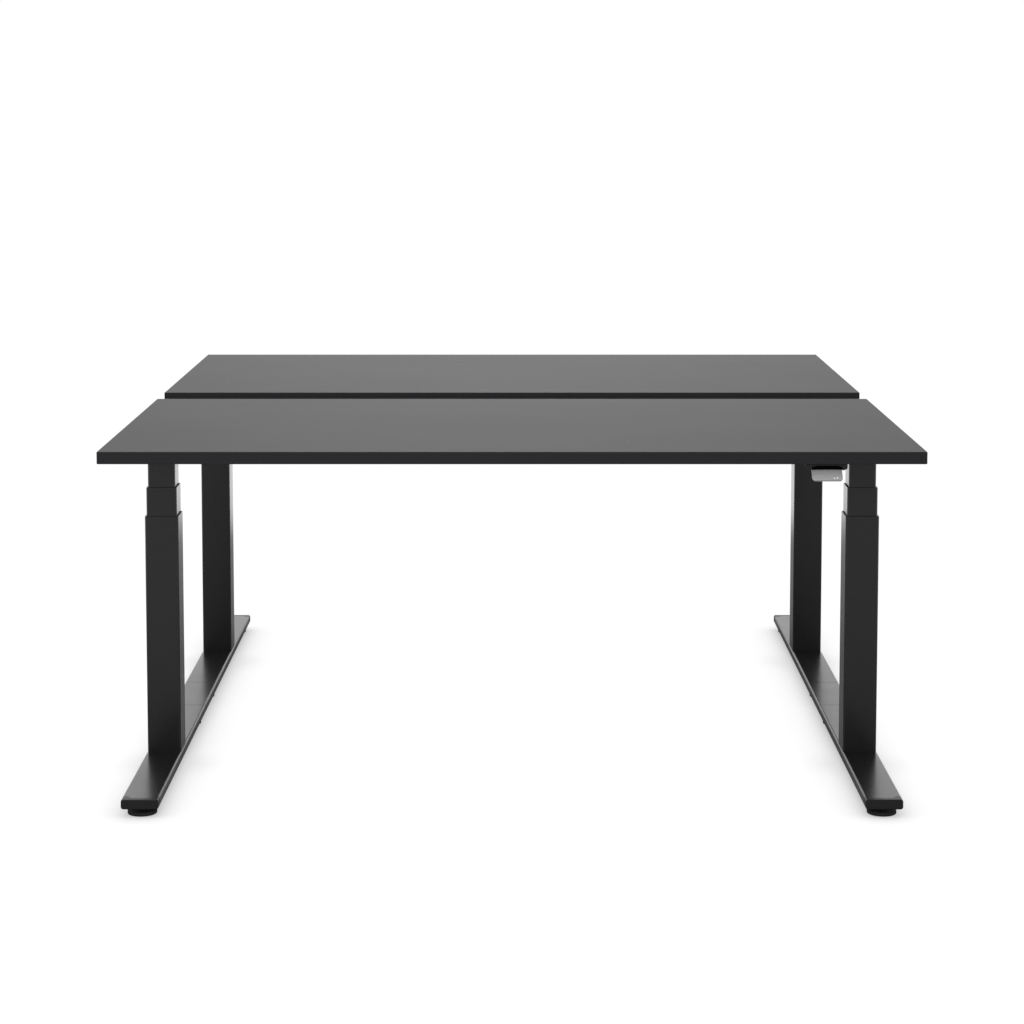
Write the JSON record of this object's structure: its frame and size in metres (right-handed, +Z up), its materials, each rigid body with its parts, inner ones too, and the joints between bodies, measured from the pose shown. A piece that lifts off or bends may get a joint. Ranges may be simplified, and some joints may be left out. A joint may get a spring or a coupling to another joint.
{
  "type": "height adjustable standing desk",
  "caption": "Back-to-back height adjustable standing desks: dark laminate tops on three-stage square columns, shared flat feet with levellers and tilt paddles under the edge.",
  "frame": {"origin": "on the floor, under the middle of the gap between the two desktops", "axes": "+X along the desktops to the right as seen from the front, +Y from the front desk to the rear desk, +Z up"},
  "size_m": [1.6, 1.71, 0.728],
  "materials": {
    "desktop_laminate": "satin",
    "black_powder_coat": "satin",
    "black_plastic": "matte",
    "leveller_plastic": "matte",
    "paddle_grey": "satin",
    "drive_steel": "satin",
    "motor_steel": "satin",
    "fastener_steel": "black oxide"
  },
  "bodies": {
    "base": {"front_left_foot": "black_powder_coat", "front_left_outer_tube": "black_powder_coat", "front_right_foot": "black_powder_coat", "front_right_outer_tube": "black_powder_coat", "rear_left_foot": "black_powder_coat", "rear_left_outer_tube": "black_powder_coat", "rear_right_foot": "black_powder_coat", "rear_right_outer_tube": "black_powder_coat", "left_foot_connector": "black_powder_coat", "right_foot_connector": "black_powder_coat", "foot_end_caps": "black_plastic", "spindle_nut_tubes": "drive_steel", "glide_rings": "black_plastic", "base_bolts": "fastener_steel"},
    "front_desk": {"front_desktop": "desktop_laminate", "front_cross_rails": "black_powder_coat", "front_control_box": "black_plastic", "front_handset_case": "black_plastic", "front_frame_screws": "fastener_steel", "front_drive_motors": "motor_steel", "front_left_inner_tube": "black_powder_coat", "front_left_support_arm": "black_powder_coat", "front_right_inner_tube": "black_powder_coat", "front_right_support_arm": "black_powder_coat"},
    "front_left_middle": {"front_left_middle_tube": "black_powder_coat", "front_left_stage_carrier": "drive_steel"},
    "front_left_lower_screw": {"front_left_lower_spindle": "drive_steel"},
    "front_left_upper_screw": {"front_left_upper_spindle": "drive_steel"},
    "front_right_middle": {"front_right_middle_tube": "black_powder_coat", "front_right_stage_carrier": "drive_steel"},
    "front_right_lower_screw": {"front_right_lower_spindle": "drive_steel"},
    "front_right_upper_screw": {"front_right_upper_spindle": "drive_steel"},
    "front_paddle_body": {"front_paddle": "paddle_grey"},
    "rear_desk": {"rear_desktop": "desktop_laminate", "rear_cross_rails": "black_powder_coat", "rear_control_box": "black_plastic", "rear_handset_case": "black_plastic", "rear_frame_screws": "fastener_steel", "rear_drive_motors": "motor_steel", "rear_left_inner_tube": "black_powder_coat", "rear_left_support_arm": "black_powder_coat", "rear_right_inner_tube": "black_powder_coat", "rear_right_support_arm": "black_powder_coat"},
    "rear_left_middle": {"rear_left_middle_tube": "black_powder_coat", "rear_left_stage_carrier": "drive_steel"},
    "rear_left_lower_screw": {"rear_left_lower_spindle": "drive_steel"},
    "rear_left_upper_screw": {"rear_left_upper_spindle": "drive_steel"},
    "rear_right_middle": {"rear_right_middle_tube": "black_powder_coat", "rear_right_stage_carrier": "drive_steel"},
    "rear_right_lower_screw": {"rear_right_lower_spindle": "drive_steel"},
    "rear_right_upper_screw": {"rear_right_upper_spindle": "drive_steel"},
    "rear_paddle_body": {"rear_paddle": "paddle_grey"},
    "front_left_tip_foot_screw": {"front_left_tip_leveller": "leveller_plastic"},
    "front_left_seam_foot_screw": {"front_left_seam_leveller": "leveller_plastic"},
    "front_right_tip_foot_screw": {"front_right_tip_leveller": "leveller_plastic"},
    "front_right_seam_foot_screw": {"front_right_seam_leveller": "leveller_plastic"},
    "rear_left_tip_foot_screw": {"rear_left_tip_leveller": "leveller_plastic"},
    "rear_left_seam_foot_screw": {"rear_left_seam_leveller": "leveller_plastic"},
    "rear_right_tip_foot_screw": {"rear_right_tip_leveller": "leveller_plastic"},
    "rear_right_seam_foot_screw": {"rear_right_seam_leveller": "leveller_plastic"}
  },
  "joints": [
    {"name": "front_lift", "type": "slide", "parent": "base", "child": "front_desk", "axis": [0, 0, 1], "range_m": [-0.12, 0.53]},
    {"name": "front_left_middle_slide", "type": "slide", "parent": "base", "child": "front_left_middle", "axis": [0, 0, 1], "range_m": [-0.06, 0.265]},
    {"name": "front_left_lower_turn", "type": "hinge", "parent": "front_left_middle", "child": "front_left_lower_screw", "pos_m": [-0.73, -0.455, 0.45], "axis": [0, 0, 1], "range_deg": [-2160, 9540]},
    {"name": "front_left_upper_turn", "type": "hinge", "parent": "front_desk", "child": "front_left_upper_screw", "pos_m": [-0.73, -0.455, 0.45], "axis": [0, 0, 1], "range_deg": [-2160, 9540]},
    {"name": "front_right_middle_slide", "type": "slide", "parent": "base", "child": "front_right_middle", "axis": [0, 0, 1], "range_m": [-0.06, 0.265]},
    {"name": "front_right_lower_turn", "type": "hinge", "parent": "front_right_middle", "child": "front_right_lower_screw", "pos_m": [0.73, -0.455, 0.45], "axis": [0, 0, 1], "range_deg": [-2160, 9540]},
    {"name": "front_right_upper_turn", "type": "hinge", "parent": "front_desk", "child": "front_right_upper_screw", "pos_m": [0.73, -0.455, 0.45], "axis": [0, 0, 1], "range_deg": [-2160, 9540]},
    {"name": "front_paddle_tilt", "type": "hinge", "parent": "front_desk", "child": "front_paddle_body", "pos_m": [0.6085, -0.831, 0.6945], "axis": [1, 0, 0], "range_deg": [-6, 6], "stiffness_Nm_per_rad": 1},
    {"name": "rear_lift", "type": "slide", "parent": "base", "child": "rear_desk", "axis": [0, 0, 1], "range_m": [-0.12, 0.53]},
    {"name": "rear_left_middle_slide", "type": "slide", "parent": "base", "child": "rear_left_middle", "axis": [0, 0, 1], "range_m": [-0.06, 0.265]},
    {"name": "rear_left_lower_turn", "type": "hinge", "parent": "rear_left_middle", "child": "rear_left_lower_screw", "pos_m": [-0.73, 0.455, 0.45], "axis": [0, 0, 1], "range_deg": [-2160, 9540]},
    {"name": "rear_left_upper_turn", "type": "hinge", "parent": "rear_desk", "child": "rear_left_upper_screw", "pos_m": [-0.73, 0.455, 0.45], "axis": [0, 0, 1], "range_deg": [-2160, 9540]},
    {"name": "rear_right_middle_slide", "type": "slide", "parent": "base", "child": "rear_right_middle", "axis": [0, 0, 1], "range_m": [-0.06, 0.265]},
    {"name": "rear_right_lower_turn", "type": "hinge", "parent": "rear_right_middle", "child": "rear_right_lower_screw", "pos_m": [0.73, 0.455, 0.45], "axis": [0, 0, 1], "range_deg": [-2160, 9540]},
    {"name": "rear_right_upper_turn", "type": "hinge", "parent": "rear_desk", "child": "rear_right_upper_screw", "pos_m": [0.73, 0.455, 0.45], "axis": [0, 0, 1], "range_deg": [-2160, 9540]},
    {"name": "rear_paddle_tilt", "type": "hinge", "parent": "rear_desk", "child": "rear_paddle_body", "pos_m": [-0.6085, 0.831, 0.6945], "axis": [1, 0, 0], "range_deg": [-6, 6], "stiffness_Nm_per_rad": 1},
    {"name": "front_left_tip_leveller_slide", "type": "slide", "parent": "base", "child": "front_left_tip_foot_screw", "axis": [0, 0, 1], "range_m": [-0.006, 0.006]},
    {"name": "front_left_seam_leveller_slide", "type": "slide", "parent": "base", "child": "front_left_seam_foot_screw", "axis": [0, 0, 1], "range_m": [-0.006, 0.006]},
    {"name": "front_right_tip_leveller_slide", "type": "slide", "parent": "base", "child": "front_right_tip_foot_screw", "axis": [0, 0, 1], "range_m": [-0.006, 0.006]},
    {"name": "front_right_seam_leveller_slide", "type": "slide", "parent": "base", "child": "front_right_seam_foot_screw", "axis": [0, 0, 1], "range_m": [-0.006, 0.006]},
    {"name": "rear_left_tip_leveller_slide", "type": "slide", "parent": "base", "child": "rear_left_tip_foot_screw", "axis": [0, 0, 1], "range_m": [-0.006, 0.006]},
    {"name": "rear_left_seam_leveller_slide", "type": "slide", "parent": "base", "child": "rear_left_seam_foot_screw", "axis": [0, 0, 1], "range_m": [-0.006, 0.006]},
    {"name": "rear_right_tip_leveller_slide", "type": "slide", "parent": "base", "child": "rear_right_tip_foot_screw", "axis": [0, 0, 1], "range_m": [-0.006, 0.006]},
    {"name": "rear_right_seam_leveller_slide", "type": "slide", "parent": "base", "child": "rear_right_seam_foot_screw", "axis": [0, 0, 1], "range_m": [-0.006, 0.006]}
  ],
  "couplings": [
    {"joint": "front_left_middle_slide", "follows": "front_lift", "ratio": 0.5},
    {"joint": "front_left_lower_turn", "follows": "front_lift", "rad_per_m": 314.16},
    {"joint": "front_left_upper_turn", "follows": "front_lift", "rad_per_m": 314.16},
    {"joint": "front_right_middle_slide", "follows": "front_lift", "ratio": 0.5},
    {"joint": "front_right_lower_turn", "follows": "front_lift", "rad_per_m": 314.16},
    {"joint": "front_right_upper_turn", "follows": "front_lift", "rad_per_m": 314.16},
    {"joint": "rear_left_middle_slide", "follows": "rear_lift", "ratio": 0.5},
    {"joint": "rear_left_lower_turn", "follows": "rear_lift", "rad_per_m": 314.16},
    {"joint": "rear_left_upper_turn", "follows": "rear_lift", "rad_per_m": 314.16},
    {"joint": "rear_right_middle_slide", "follows": "rear_lift", "ratio": 0.5},
    {"joint": "rear_right_lower_turn", "follows": "rear_lift", "rad_per_m": 314.16},
    {"joint": "rear_right_upper_turn", "follows": "rear_lift", "rad_per_m": 314.16}
  ]
}
